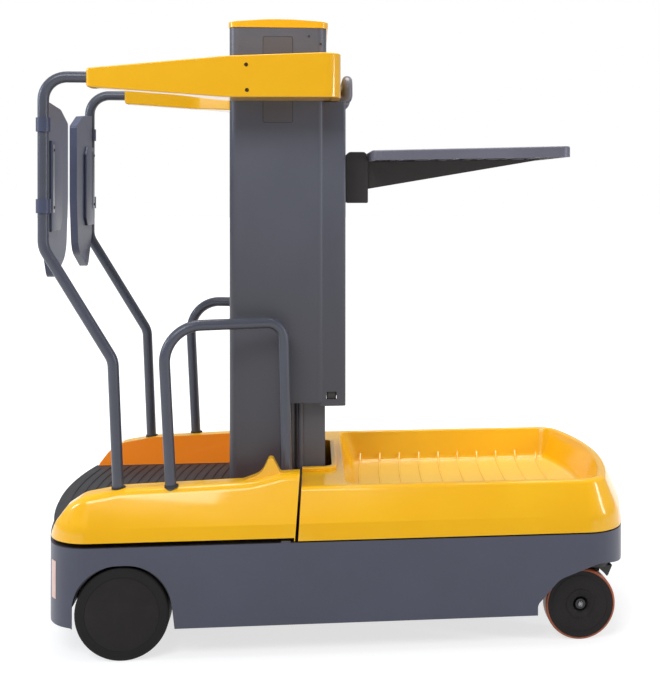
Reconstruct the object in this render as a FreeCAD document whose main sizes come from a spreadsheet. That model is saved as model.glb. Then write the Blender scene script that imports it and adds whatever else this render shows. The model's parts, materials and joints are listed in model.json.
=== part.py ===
import FreeCAD, Part
import Sketcher
import math
import os
from FreeCAD import Placement, Rotation, Vector

# An order picker truck that carries a standing driver up with the goods.
# Millimetres; x runs toward the load deck, y across, z up from the floor.

doc = FreeCAD.newDocument("OrderPicker")
sheet = doc.addObject("Spreadsheet::Sheet", "Dims")

# Columns: alias, value or formula, meaning.
SIZES = [
    ("half_length", "770", "half of the overall length"),
    ("half_width", "380", "half of the overall width"),
    ("nose_bow", "1252", "plan radius of the nose"),
    ("tail_bow", "993", "plan radius of the tail"),
    ("nose_corner", "110", "plan corner radius at the nose"),
    ("tail_corner", "110", "plan corner radius at the tail"),
    ("nose_mid", "=nose_bow - half_length", "centre of the nose arc"),
    ("tail_mid", "=half_length - tail_bow", "centre of the tail arc"),
    ("skirt_low", "77", "floor clearance of the skirt"),
    ("skirt_top", "280", "top edge of the skirt"),
    ("skirt_wall", "6", "plate thickness of the skirt"),
    ("nose_low", "84", "skirt bottom at the nose"),
    ("tail_low", "205", "skirt bottom above the swivels"),
    ("drive_x", "=222 - half_length", "centre of the drive wheels"),
    ("drive_radius", "115", "drive wheel radius"),
    ("drive_face", "=half_width - 5", "outer face of the drive wheels"),
    ("drive_width", "75", "drive wheel width"),
    ("drive_rim", "90", "radius where tyre meets hub"),
    ("arch_play", "6", "gap between drive wheel and arch"),
    ("arch_radius", "=drive_radius + arch_play", "wheel arch radius"),
    ("caster_y", "=half_width - 52", "swivel line of the casters"),
    ("caster_set", "109.265", "caster wheel centre inside the tail arc"),
    ("caster_x", "=tail_mid + sqrt(tail_bow * tail_bow - caster_y * caster_y) - caster_set",
     "centre of the caster wheels"),
    ("caster_radius", "91", "caster wheel radius"),
    ("caster_rim", "85", "radius where tread meets hub"),
    ("caster_width", "42", "caster wheel width"),
    ("caster_trail", "42", "trail of the casters"),
    ("swivel_x", "=caster_x + caster_trail", "swivel line of the casters"),
    ("liner_skin", "4", "thickness of the arch liners"),
    ("liner_inner", "=drive_face - 85", "inner end of the arch liners"),
    ("crown_low", "188", "underside of the fork crown"),
    ("crown_top", "204", "top of the fork crown"),
    ("crown_radius", "33", "fork crown radius"),
    ("plate_low", "268", "underside of the chassis plate"),
    ("deck_seat", "284", "seat of the deck cover"),
    ("play", "5", "gap between moving pieces"),
    ("pin_play", "0.3", "gap around a pin"),
    ("deck_start", "-108", "front end of the deck cover"),
    ("deck_top", "408", "rim of the deck cover"),
    ("deck_floor", "322", "floor of the load deck"),
    ("band_top", "325", "top of the steep band round the covers"),
    ("band_draft", "8", "draft of the steep band"),
    ("band_inset", "=(band_top - deck_seat) * tan(band_draft)", "inset above the steep band"),
    ("rim_round", "16", "outer rounding of the deck rim"),
    ("lip_round", "7", "inner rounding of the deck rim"),
    ("tub_corner", "40", "front corner radius of the tub"),
    ("floor_round", "24", "rounding where the tub meets its floor"),
    ("end_lean", "10", "lean of the split between the covers"),
    ("collar_wall", "14", "width of the collar round the mast"),
    ("collar_rise", "10", "height of the collar round the mast"),
    ("caster_face", "=caster_y + caster_width / 2", "outer face of the caster wheels"),
    ("tub_inset", "62", "inset of the tub at the rim"),
    ("tub_front", "=deck_start + 110", "front end of the tub at the rim"),
    ("draft", "24", "draft of the moulded covers"),
    ("tub_draft", "20", "draft of the tub"),
    ("cover_low", "292", "underside of the platform"),
    ("cover_end", "-116", "rear end of the operator covers"),
    ("cover_top", "450", "blank height of the operator covers"),
    ("crest_round", "30", "outer rounding of the operator covers"),
    ("fin_wall", "30", "thickness of the fins"),
    ("well_half", "=half_width - 100", "half width of the operator well"),
    ("flange_half", "=column_half + play", "half width between the cover ledges"),
    ("flange_x", "-205", "where the cover ledges start"),
    ("ledge_top", "380", "top of the cover ledges"),
    ("mat_low", "322", "top of the platform plate"),
    ("mat_top", "330", "standing height"),
    ("column_left", "-300", "operator side of the column"),
    ("column_right", "-45", "load side of the column"),
    ("column_half", "200", "half width of the column"),
    ("column_skin", "3", "column sheet"),
    ("column_step", "594", "where the column widens"),
    ("column_corner", "26", "corner radius of the column"),
    ("column_top", "1585", "top of the column sheet"),
    ("foot_right", "-166", "load side of the column foot"),
    ("track_right", "6", "load side of the track box"),
    ("track_half", "195", "half width of the track box"),
    ("track_low", "584", "underside of the track box"),
    ("slot_half", "36", "half width of the tray slot"),
    ("slot_depth", "20", "depth of the tray slot"),
    ("rail_half", "18", "half width of the tray rail"),
    ("track_top", "1391", "top of the track box"),
    ("cap_top", "1607", "overall height"),
    ("cap_lip", "4", "overhang of the cap"),
    ("mast_low", "280", "foot of the mast"),
    ("mast_top", "1530", "top of the fixed mast"),
    ("mast_left", "-124", "operator side of the fixed mast"),
    ("mast_right", "-48", "load side of the fixed mast"),
    ("mast_half", "150", "half width of the fixed mast"),
    ("mast_web", "6", "web and flange thickness"),
    ("mast_shim", "5", "foot plates behind the fixed mast"),
    ("mast_back", "=mast_right - mast_shim", "rear face of the fixed mast above its foot"),
    ("mast_depth", "24", "flange depth of the fixed mast"),
    ("cylinder_x", "-137", "lift cylinders"),
    ("cylinder_y", "137", "lift cylinders"),
    ("cylinder_radius", "13", "barrel radius"),
    ("cylinder_top", "1240", "barrel top"),
    ("ram_radius", "8", "ram radius"),
    ("frame_top", "700", "top of the carriage cheeks"),
    ("arm_tip", "=127 - half_length", "front end of the arms"),
    ("arm_back", "-10", "rear face of the arm cover"),
    ("arm_low", "1391", "underside of the arm cover at the column"),
    ("arm_top", "1506", "top of the arm cover at its rear"),
    ("arm_half", "=half_width - 46", "half width over the arms"),
    ("arm_inner", "=arm_half - 52", "inner face of the arm tips"),
    ("arm_corner", "42", "rear corner radius of the arm cover"),
    ("tube_radius", "14", "guard tube radius"),
    ("hoop_y", "=half_width - 72", "plane of the guard hoops"),
    ("hoop_x", "=20 - half_length", "upright of the guard hoops"),
    ("rail_x", "=hoop_x + 316", "front foot of the handrails"),
    ("rail_y", "=half_width - 58", "front foot of the handrails"),
    ("rail_span", "=cover_end - 23 - rail_x", "length of the handrails"),
    ("hoop_top", "1440", "top of the guard hoops"),
    ("gate_low", "925", "bottom of the gates"),
    ("gate_top", "1378", "top of the gates"),
    ("gate_slab", "20", "gate thickness"),
    ("gate_gap", "60", "half the gap between the gates"),
    ("knuckle", "35", "height of the gate knuckles"),
    ("tray_left", "72", "column end of the tray"),
    ("tray_right", "605", "free end of the tray"),
    ("tray_half", "250", "half width of the tray"),
    ("tray_low", "1235", "underside of the tray rim"),
    ("tray_lift", "10", "how much the tray's free end rises"),
    ("tray_rim", "26", "depth of the tray rim"),
    ("tray_cells", "7", "cells between the ribs under the tray"),
    ("tray_rib", "6", "thickness of those ribs"),
    ("handle_half", "110", "half width of the rear handle"),
    ("handle_x", "13", "plane of the rear handle"),
    ("handle_top", "1470", "top line of the rear handle"),
]


def fill_sheet():
    """Write the size table and give each value its alias."""
    for row, (alias, value, meaning) in enumerate(SIZES, 1):
        sheet.set("A%d" % row, alias)
        sheet.set("B%d" % row, value)
        sheet.set("C%d" % row, meaning)
        sheet.setAlias("B%d" % row, alias)
    doc.recompute()


fill_sheet()


def words(text):
    """Split a sum of sizes into signed terms."""
    sign = ""
    for word in str(text).split():
        if word in ("+", "-"):
            sign = word
            continue
        if word.startswith("-") and sign == "-":
            word = word[1:]
            sign = "+"
        elif word.startswith("-"):
            word = word[1:]
            sign = "-"
        yield sign, word
        sign = "+"


def number(text):
    """Value of a sum such as 'skirt_top - play'."""
    total = 0.0
    for sign, word in words(text):
        plain = word[0].isdigit()
        value = float(word) if plain else float(sheet.get(word))
        total += -value if sign == "-" else value
    return total


def formula(text):
    """The same sum as an expression bound to the sheet."""
    terms = []
    for sign, word in words(text):
        name = word if word[0].isdigit() else "Dims." + word
        terms.append((sign or "+") + " " + name)
    return "0 " + " ".join(terms)


def new_body(name):
    body = doc.addObject("PartDesign::Body", name)
    body.AllowCompound = True
    return body


def new_sketch(body, plane, offset="0"):
    """A sketch on one of the body's own planes, moved along its normal."""
    sketch = body.newObject("Sketcher::SketchObject", "Sketch")
    for feature in body.Origin.OriginFeatures:
        if feature.Role == plane + "_Plane":
            sketch.AttachmentSupport = [(feature, "")]
    sketch.MapMode = "FlatFace"
    sketch.AttachmentOffset = Placement(Vector(0, 0, number(offset)), Rotation())
    sketch.setExpression("AttachmentOffset.Base.z", formula(offset))
    return sketch


def pin_point(sketch, geometry, end, x, y):
    """Tie a point to two sums of sizes."""
    for kind, text in (("DistanceX", x), ("DistanceY", y)):
        rule = Sketcher.Constraint(kind, -1, 1, geometry, end, number(text))
        index = sketch.addConstraint(rule)
        sketch.setExpression("Constraints[%d]" % index, formula(text))


def pin_radius(sketch, geometry, text):
    rule = Sketcher.Constraint("Radius", geometry, number(text))
    index = sketch.addConstraint(rule)
    sketch.setExpression("Constraints[%d]" % index, formula(text))


def end_near(sketch, geometry, point):
    """Which end of an arc lies at the point."""
    first = sketch.getPoint(geometry, 1)
    return 1 if first.distanceToPoint(point) < 0.01 else 2


def rounded_path(sketch, corners, closed=True):
    """Straight runs through the corners (x, y, radius or None)."""
    count = len(corners)
    points = [Vector(number(c[0]), number(c[1]), 0) for c in corners]
    bends = {}
    for i in range(count):
        if corners[i][2] is None:
            continue
        back = (points[i - 1] - points[i]).normalize()
        ahead = (points[(i + 1) % count] - points[i]).normalize()
        half = back.getAngle(ahead) / 2
        radius = number(corners[i][2])
        reach = radius / math.tan(half)
        inward = (back + ahead).normalize()
        middle = points[i] + inward * (radius / math.sin(half) - radius)
        start = points[i] + back * reach
        stop = points[i] + ahead * reach
        bends[i] = (start, middle, stop)
    runs = []
    for i in range(count if closed else count - 1):
        j = (i + 1) % count
        start = bends[i][2] if i in bends else points[i]
        stop = bends[j][0] if j in bends else points[j]
        runs.append(sketch.addGeometry(Part.LineSegment(start, stop), False))
    for i in range(count):
        x, y, radius = corners[i]
        before = runs[i - 1] if closed or i > 0 else None
        after = runs[i] if i < len(runs) else None
        if i not in bends:
            if before is not None and after is not None:
                rule = Sketcher.Constraint("Coincident", before, 2, after, 1)
                sketch.addConstraint(rule)
            if after is not None:
                pin_point(sketch, after, 1, x, y)
            else:
                pin_point(sketch, before, 2, x, y)
            continue
        start, middle, stop = bends[i]
        arc = sketch.addGeometry(Part.Arc(start, middle, stop), False)
        near = end_near(sketch, arc, start)
        far = 3 - near
        sketch.addConstraint(Sketcher.Constraint("Tangent", arc, near, before, 2))
        sketch.addConstraint(Sketcher.Constraint("Tangent", arc, far, after, 1))
        pin_radius(sketch, arc, radius)
        mark = sketch.addGeometry(Part.Point(points[i]), True)
        pin_point(sketch, mark, 1, x, y)
        for run in (before, after):
            rule = Sketcher.Constraint("PointOnObject", mark, 1, run)
            sketch.addConstraint(rule)


def box_path(sketch, x0, x1, y0, y1, radius=None):
    corners = [(x0, y0, radius), (x1, y0, radius), (x1, y1, radius), (x0, y1, radius)]
    rounded_path(sketch, corners)


def ring(sketch, x, y, radius):
    centre = Vector(number(x), number(y), 0)
    circle = Part.Circle(centre, Vector(0, 0, 1), number(radius))
    index = sketch.addGeometry(circle, False)
    pin_point(sketch, index, 3, x, y)
    pin_radius(sketch, index, radius)


def plan_path(sketch, inset="0", left=None, right=None):
    """The truck's plan outline, inset, with a straight end where one is named."""
    side = number("half_width") - number(inset)
    ends = []
    for name, at in (("tail", right), ("nose", left)):
        sign = 1 if name == "tail" else -1
        if at is not None:
            ends.append((name, sign, at, None, None, None))
            continue
        bow = number(name + "_bow") - number(inset)
        corner = number(name + "_corner") - number(inset)
        mid = number(name + "_mid")
        run = math.sqrt((bow - corner) ** 2 - (side - corner) ** 2)
        ends.append((name, sign, None, bow, corner, mid + sign * run))
    pieces = []
    lines = {}
    for sign_y in (-1, 1):
        xs = []
        for name, sign, at, bow, corner, turn in ends:
            xs.append(number(at) if at is not None else turn)
        order = [Vector(xs[1], side * sign_y, 0), Vector(xs[0], side * sign_y, 0)]
        if sign_y > 0:
            order.reverse()
        lines[sign_y] = sketch.addGeometry(Part.LineSegment(order[0], order[1]), False)
        sketch.addConstraint(Sketcher.Constraint("Horizontal", lines[sign_y]))
        rule = Sketcher.Constraint("DistanceY", -1, 1, lines[sign_y], 1, side * sign_y)
        index = sketch.addConstraint(rule)
        text = "(" + formula("half_width") + ") - (" + formula(inset) + ")"
        sketch.setExpression("Constraints[%d]" % index, "%d * (%s)" % (sign_y, text))
    for name, sign, at, bow, corner, turn in ends:
        lead = lines[-1] if sign > 0 else lines[1]
        trail = lines[1] if sign > 0 else lines[-1]
        lead_y = side * (-1 if sign > 0 else 1)
        if at is not None:
            x = number(at)
            cross = Part.LineSegment(Vector(x, lead_y, 0), Vector(x, -lead_y, 0))
            line = sketch.addGeometry(cross, False)
            sketch.addConstraint(Sketcher.Constraint("Vertical", line))
            sketch.addConstraint(Sketcher.Constraint("Coincident", lead, 2, line, 1))
            sketch.addConstraint(Sketcher.Constraint("Coincident", line, 2, trail, 1))
            index = sketch.addConstraint(Sketcher.Constraint("DistanceX", -1, 1, line, 1, x))
            sketch.setExpression("Constraints[%d]" % index, formula(at))
            continue
        mid = Vector(number(name + "_mid"), 0, 0)
        arcs = []
        for y in (lead_y, -lead_y):
            inner = Vector(turn, (abs(y) - corner) * (1 if y > 0 else -1), 0)
            away = (inner - mid).normalize()
            touch = inner + away * corner
            flat = Vector(turn, y, 0)
            half = ((flat - inner).normalize() + away).normalize()
            middle = inner + half * corner
            arcs.append((flat, middle, touch))
        first = sketch.addGeometry(Part.Arc(arcs[0][0], arcs[0][1], arcs[0][2]), False)
        tip = mid + Vector(sign * bow, 0, 0)
        big = sketch.addGeometry(Part.Arc(arcs[0][2], tip, arcs[1][2]), False)
        last = sketch.addGeometry(Part.Arc(arcs[1][2], arcs[1][1], arcs[1][0]), False)
        joints = [
            (lead, 2, first, end_near(sketch, first, arcs[0][0])),
            (first, 3 - end_near(sketch, first, arcs[0][0]), big, end_near(sketch, big, arcs[0][2])),
            (big, 3 - end_near(sketch, big, arcs[0][2]), last, end_near(sketch, last, arcs[1][2])),
            (last, 3 - end_near(sketch, last, arcs[1][2]), trail, 1),
        ]
        for a, end_a, b, end_b in joints:
            sketch.addConstraint(Sketcher.Constraint("Tangent", a, end_a, b, end_b))
        pin_point(sketch, big, 3, name + "_mid", "0")
        for arc, size in ((first, "_corner"), (last, "_corner"), (big, "_bow")):
            rule = Sketcher.Constraint("Radius", arc, number(name + size) - number(inset))
            index = sketch.addConstraint(rule)
            text = "(" + formula(name + size) + ") - (" + formula(inset) + ")"
            sketch.setExpression("Constraints[%d]" % index, text)


def pad(body, sketch, length, middle=False, draft=None, back=False):
    feature = body.newObject("PartDesign::Pad", "Pad")
    feature.Profile = sketch
    feature.setExpression("Length", formula(length))
    feature.Midplane = middle
    feature.Reversed = back
    if draft is not None:
        feature.setExpression("TaperAngle", formula(draft))
    sketch.Visibility = False
    return feature


def pocket(body, sketch, length=None, middle=False, draft=None, back=False):
    feature = body.newObject("PartDesign::Pocket", "Pocket")
    feature.Profile = sketch
    if length is None:
        feature.Type = 1
    else:
        feature.setExpression("Length", formula(length))
    feature.Midplane = middle
    feature.Reversed = back
    if draft is not None:
        feature.setExpression("TaperAngle", formula(draft))
    sketch.Visibility = False
    return feature


def soften(body, radius, test, kind="Fillet"):
    """Round or bevel the edges of the body's last feature that pass the test."""
    doc.recompute()
    tip = body.Tip
    picked = []
    for index, edge in enumerate(tip.Shape.Edges, 1):
        if test(edge):
            picked.append("Edge%d" % index)
    if not picked:
        raise ValueError("no edge to soften on " + body.Name)
    feature = body.newObject("PartDesign::" + kind, kind)
    feature.Base = (tip, picked)
    size = "Radius" if kind == "Fillet" else "Size"
    feature.setExpression(size, formula(radius))
    return feature


def level(edge, z, slack=0.01):
    box = edge.BoundBox
    return abs(box.ZMin - z) < slack and abs(box.ZMax - z) < slack


def on_outline(edge, inset):
    """Whether an edge lies on the truck's plan outline at some inset."""
    if hasattr(edge.Curve, "Radius"):
        sizes = [number(end + kind) for end in ("nose", "tail") for kind in ("_bow", "_corner")]
        return any(abs(edge.Curve.Radius - size + number(inset)) < 0.05 for size in sizes)
    box = edge.BoundBox
    side = number("half_width") - number(inset)
    return box.YLength < 0.01 and abs(abs(box.YMin) - side) < 0.05


def block(x0, x1, y0, y1, z0, z1):
    """A plain block between three pairs of sums."""
    solid = doc.addObject("Part::Box", "Block")
    for side, low, high in (("Length", x0, x1), ("Width", y0, y1), ("Height", z0, z1)):
        text = "(" + formula(high) + ") - (" + formula(low) + ")"
        solid.setExpression(side, text)
    for axis, low in (("x", x0), ("y", y0), ("z", z0)):
        solid.setExpression("Placement.Base." + axis, formula(low))
    return solid


TURNS = {
    "z": Rotation(),
    "y": Rotation(Vector(1, 0, 0), -90),
    "x": Rotation(Vector(0, 1, 0), 90),
}


def rod(axis, radius, x, y, z, length):
    """A round bar that starts at a point and runs along +x, +y or +z."""
    solid = doc.addObject("Part::Cylinder", "Rod")
    solid.Placement = Placement(Vector(0, 0, 0), TURNS[axis])
    solid.setExpression("Radius", formula(radius))
    solid.setExpression("Height", formula(length))
    for name, text in (("x", x), ("y", y), ("z", z)):
        solid.setExpression("Placement.Base." + name, formula(text))
    return solid


def joined(parts):
    result = doc.addObject("Part::MultiFuse", "Joined")
    result.Shapes = parts
    return result


def carved(base, tools):
    tool = tools[0]
    if len(tools) > 1:
        tool = joined(tools)
    result = doc.addObject("Part::Cut", "Carved")
    result.Base = base
    result.Tool = tool
    return result


def mirrored(part):
    twin = doc.addObject("Part::Mirroring", "Twin")
    twin.Source = part
    twin.Normal = Vector(0, 1, 0)
    return twin


def group(parts):
    result = doc.addObject("Part::Compound", "Group")
    result.Links = parts
    return result


def both(part):
    return group([part, mirrored(part)])


def inside(part, shell):
    """What of a part lies inside another."""
    result = doc.addObject("Part::MultiCommon", "Inside")
    result.Shapes = [part, shell]
    return result


NODES = {}


def node(name, part):
    part.Label = name
    NODES[name] = part
    return part


# Chassis: the painted skirt round the wheels.
skirt = new_body("Skirt")
sketch = new_sketch(skirt, "XY", "skirt_low")
plan_path(sketch)
pad(skirt, sketch, "skirt_top - skirt_low")
sketch = new_sketch(skirt, "XY", "skirt_top")
plan_path(sketch, "skirt_wall")
pocket(skirt, sketch)
sketch = new_sketch(skirt, "XZ")
rounded_path(sketch, [
    ("-half_length - 20", "0", None),
    ("drive_x - arch_radius + 1", "0", None),
    ("drive_x - arch_radius + 1", "nose_low", "6"),
    ("-half_length - 20", "nose_low", None),
])
rounded_path(sketch, [
    ("caster_x - 117", "0", None),
    ("half_length + 20", "0", None),
    ("half_length + 20", "tail_low - 25", None),
    ("caster_x + 45", "tail_low", "90"),
    ("caster_x - 60", "167", "60"),
    ("caster_x - 117", "104", "20"),
])
pocket(skirt, sketch, middle=True)
sketch = new_sketch(skirt, "XZ")
rounded_path(sketch, [
    ("drive_x - arch_radius", "0", None),
    ("drive_x + arch_radius + 7", "0", None),
    ("drive_x + arch_radius + 7", "skirt_low", None),
    ("drive_x + arch_radius", "drive_radius + 24", None),
    ("drive_x + arch_radius - 5", "drive_radius + arch_radius", "arch_radius - 10"),
    ("drive_x - arch_radius", "drive_radius + arch_radius", "arch_radius - 10"),
])
pocket(skirt, sketch, middle=True)
node("skirt", skirt)

# Arch liners: half rings behind the skirt that close the wheel arches.
outer = rod("y", "arch_radius + liner_skin", "drive_x", "-half_width + skirt_wall", "drive_radius",
            "half_width - skirt_wall - liner_inner")
inner = rod("y", "arch_radius", "drive_x", "-half_width", "drive_radius", "half_width")
below = block("drive_x - arch_radius - 20", "drive_x + arch_radius + 20", "-half_width", "0",
              "-arch_radius", "drive_radius + 20")
bay = new_body("WheelBay")
sketch = new_sketch(bay, "XY", "drive_radius")
plan_path(sketch, "skirt_wall")
pad(bay, sketch, "plate_low - drive_radius")
node("arch_liners", both(inside(carved(outer, [inner, below]), bay)))

# Chassis plate: closes the skirt, carries the mast and the deck cover.
plate = new_body("ChassisPlate")
sketch = new_sketch(plate, "XY", "plate_low")
plan_path(sketch, "skirt_wall")
pad(plate, sketch, "skirt_top - plate_low")
sketch = new_sketch(plate, "XY", "skirt_top")
plan_path(sketch, "14", left="deck_start + 8")
pad(plate, sketch, "deck_seat - skirt_top")
sketch = new_sketch(plate, "XY", "skirt_top")
box_path(sketch, "mast_left - 34", "mast_right + 10", "-mast_half - 10", "mast_half + 10")
pocket(plate, sketch, "0 - skirt_top + deck_seat + 4", back=True)
node("chassis_plate", plate)

# The battery and its tray, one heavy block between the axles.
node("battery_block", block("drive_x + 148", "caster_x - 175", "-half_width + 80", "half_width - 80",
                            "95", "plate_low"))

# Fixed mast: two channels tied behind, open toward the driver.
mast_inner = "mast_half - mast_web"


def channel(left, right, outer, web, depth, low, high):
    """One upright channel on the -y side, open toward the middle."""
    wall = block(left, right, "-" + outer, "-" + outer + " + " + web, low, high)
    near = block(left, left + " + " + web, "-" + outer, "-" + outer + " + " + depth, low, high)
    far = block(right + " - " + web, right, "-" + outer, "-" + outer + " + " + depth, low, high)
    return joined([wall, near, far])


upright = channel("mast_left", "mast_back", "mast_half", "mast_web", "mast_depth", "mast_low", "mast_top")
foot = block("mast_back", "mast_right", "-mast_half", "-mast_half + mast_depth", "mast_low", "track_low - 9")
lip = rod("z", "8", "mast_left + 11", "-mast_half - 1", "mast_low", "mast_top - mast_low")
ties = []
for low, high in (("mast_low", "mast_low + 60"), ("860", "900"), ("mast_top - 60", "mast_top")):
    ties.append(block("mast_back - mast_web", "mast_back", "-mast_half", "mast_half", low, high))
half = [upright, foot, lip]
node("mast_outer", joined(half + [mirrored(piece) for piece in half] + ties))

# Middle stage, six millimetres inside the fixed one.
upright = channel("-112", "-65", "138", "mast_web", "34", "mast_low + 10", "mast_top + 26")
head = block("-150", "-65", "-142", "-132", "mast_top + 6", "mast_top + 26")
pad_low = block("-99", "-65", "-144 + pin_play", "-138", "mast_low + 10", "mast_low + 90")
ties = []
for low, high in (("mast_low + 10", "mast_low + 70"), ("mast_top - 34", "mast_top + 26")):
    ties.append(block("-71", "-65", "-138", "138", low, high))
pairs = [upright, head, pad_low, mirrored(upright), mirrored(head), mirrored(pad_low)]
node("mast_middle", joined(pairs + ties))

# Inner stage that the platform carriage runs on.
rail = block("-101", "-77", "-126", "-98", "mast_low + 20", "mast_top + 16")
pad_low = block("-101", "-77", "-132 + pin_play", "-126", "mast_low + 20", "mast_low + 100")
ties = []
for low, high in (("mast_low + 20", "mast_low + 80"), ("mast_top - 44", "mast_top + 16")):
    ties.append(block("-83", "-77", "-126", "126", low, high))
node("mast_inner", joined([rail, pad_low, mirrored(rail), mirrored(pad_low)] + ties))

# Lift cylinders behind the fixed uprights.
barrel = rod("z", "cylinder_radius", "cylinder_x", "-cylinder_y", "mast_low", "cylinder_top - mast_low")
bore = rod("z", "ram_radius + pin_play", "cylinder_x", "-cylinder_y", "mast_low + 12", "cylinder_top")
node("lift_cylinders", both(carved(barrel, [bore])))
ram = rod("z", "ram_radius", "cylinder_x", "-cylinder_y", "mast_low + 20", "mast_top + 6 - mast_low - 20")
node("lift_rams", both(ram))

# Deck cover: a moulded tub behind the mast.
def drafted_blank(name, left, right, top):
    """A blank on the plan outline: a steep band below, more draft above it."""
    body = new_body(name)
    sketch = new_sketch(body, "XY", "deck_seat")
    plan_path(sketch, "0", left, right)
    pad(body, sketch, "band_top - deck_seat", draft="-band_draft")
    sketch = new_sketch(body, "XY", "band_top")
    plan_path(sketch, "band_inset", left, right)
    pad(body, sketch, top + " - band_top", draft="-draft")
    return body


deck = drafted_blank("DeckCover", "deck_start - 100", None, "deck_top")
soften(deck, "rim_round", lambda edge: level(edge, number("deck_top"))
       and edge.BoundBox.XMax > number("deck_start") - 50)
sketch = new_sketch(deck, "XY", "deck_top")
plan_path(sketch, "tub_inset", left="tub_front")
pocket(deck, sketch, "deck_top - deck_floor", draft="-tub_draft")
soften(deck, "tub_corner", lambda edge: edge.BoundBox.ZLength > 60
       and abs(edge.CenterOfMass.x - number("tub_front")) < 40)
soften(deck, "lip_round", lambda edge: level(edge, number("deck_top"))
       and (on_outline(edge, "tub_inset") or edge.BoundBox.XMax < number("tub_front") + 60
            and edge.BoundBox.XMin > number("tub_front") - 1))
soften(deck, "floor_round", lambda edge: level(edge, number("deck_floor")))
sketch = new_sketch(deck, "XY", "deck_top")
box_path(sketch, "deck_start - 60", "mast_right + 18 + collar_wall", "-mast_half - 12 - collar_wall",
         "mast_half + 12 + collar_wall", "30")
pad(deck, sketch, "collar_rise")
soften(deck, "5", lambda edge: level(edge, number("deck_top + collar_rise")))
sketch = new_sketch(deck, "XZ")
rounded_path(sketch, [
    ("deck_start - 200", "deck_seat - 10", None), ("deck_start - end_lean", "deck_seat - 10", None),
    ("deck_start", "deck_top + 20", None), ("deck_start - 200", "deck_top + 20", None),
])
pocket(deck, sketch, middle=True)
sketch = new_sketch(deck, "XY", "deck_top + collar_rise")
box_path(sketch, "deck_start - 60", "mast_right + 18", "-mast_half - 12", "mast_half + 12", "20")
pocket(deck, sketch)
node("deck_cover", deck)

# Drive units: motor, gearbox and the stub that carries each wheel.
motor = rod("y", "78", "drive_x", "-liner_inner", "drive_radius", "170")
stub = rod("y", "20", "drive_x", "-drive_face + 25", "drive_radius", "65")
hanger = block("drive_x - 50", "drive_x + 50", "-liner_inner", "-liner_inner + 140",
               "drive_radius", "plate_low")
node("drive_units", both(joined([motor, stub, hanger])))


def wheel(face, width, radius, rim, x, z, crown):
    """Tread ring and hub of one wheel on the -y side, as two bodies."""
    made = []
    for name in ("Tread", "Hub"):
        body = new_body(name)
        sketch = new_sketch(body, "XY", z)
        outer = radius if name == "Tread" else rim
        inner = rim if name == "Tread" else "0"
        left = x + " + " + inner
        right = x + " + " + outer
        low = "-" + face
        high = "-" + face + " + " + width
        round_ = crown if name == "Tread" else None
        rounded_path(sketch, [
            (left, low, None), (right, low, round_), (right, high, round_), (left, high, None),
        ])
        line = Part.LineSegment(Vector(number(x), number(low), 0), Vector(number(x), 0, 0))
        index = sketch.addGeometry(line, True)
        pin_point(sketch, index, 1, x, low)
        pin_point(sketch, index, 2, x, "0")
        turn = body.newObject("PartDesign::Revolution", "Turn")
        turn.Profile = sketch
        turn.ReferenceAxis = (sketch, ["Axis0"])
        turn.Angle = 360
        made.append(body)
    return made


tread, hub = wheel("drive_face", "drive_width", "drive_radius", "drive_rim", "drive_x", "drive_radius", "6")
bore = rod("y", "20 + pin_play", "drive_x", "-drive_face + 23", "drive_radius", "60")
hub = carved(hub, [bore])
node("drive_tyre_right", tread)
node("drive_hub_right", hub)
node("drive_tyre_left", mirrored(tread))
node("drive_hub_left", mirrored(hub))

# Casters: a one-sided fork under a bearing, trailing a treaded wheel.
tread, hub = wheel("caster_face", "caster_width", "caster_radius", "caster_rim",
                   "caster_x", "caster_radius", "5")
bore = rod("y", "8 + pin_play", "caster_x", "-caster_y - 40", "caster_radius", "80")
dish = rod("y", "20", "caster_x", "-caster_y - 40", "caster_radius", "31")
hub = carved(hub, [bore, dish])
node("caster_tread_right", tread)
node("caster_hub_right", hub)
node("caster_tread_left", mirrored(tread))
node("caster_hub_left", mirrored(hub))

arm = new_body("CasterArm")
sketch = new_sketch(arm, "XZ", "caster_y - 36")
rounded_path(sketch, [
    ("swivel_x - 22", "crown_low - 5", None),
    ("caster_x - 18", "caster_radius + 22", "14"),
    ("caster_x - 20", "caster_radius - 22", "18"),
    ("caster_x + 22", "caster_radius - 22", "18"),
    ("swivel_x + 19", "crown_low - 30", "20"),
    ("swivel_x + 19", "crown_low - 5", None),
])
pad(arm, sketch, "10")
crown = rod("z", "crown_radius", "swivel_x", "-caster_y", "crown_low", "crown_top - crown_low")
king = rod("z", "12", "swivel_x", "-caster_y", "crown_top", "46")
axle = rod("y", "8", "caster_x", "-caster_y - 14", "caster_radius", "46")
head = rod("y", "13", "caster_x", "-caster_y - 19", "caster_radius", "8")
lip = new_body("CasterLip")
sketch = new_sketch(lip, "XZ", "caster_y - 36")
rounded_path(sketch, [
    ("swivel_x + 8", "crown_low", None), ("swivel_x + 8", "180", None), ("swivel_x + 21", "168", None),
    ("swivel_x + 29", "158", "3"), ("swivel_x + 42", "crown_low", None),
])
pad(lip, sketch, "54")
neck = block("swivel_x + 10", "swivel_x + 24", "-caster_y - 18", "-caster_y + 18",
             "crown_low - 6", "crown_low + 4")
stub = block("swivel_x - 10", "swivel_x + 10", "-caster_y + 26", "-caster_y + 31", "170", "crown_low + 4")
fork = joined([arm, crown, king, axle, head, lip, neck, stub])
node("caster_fork_right", fork)
node("caster_fork_left", mirrored(fork))
shell = rod("z", "30", "swivel_x", "-caster_y", "crown_top + play", "plate_low - crown_top - play")
bore = rod("z", "12 + pin_play", "swivel_x", "-caster_y", "crown_top", "50")
node("caster_mounts", both(carved(shell, [bore])))

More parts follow.
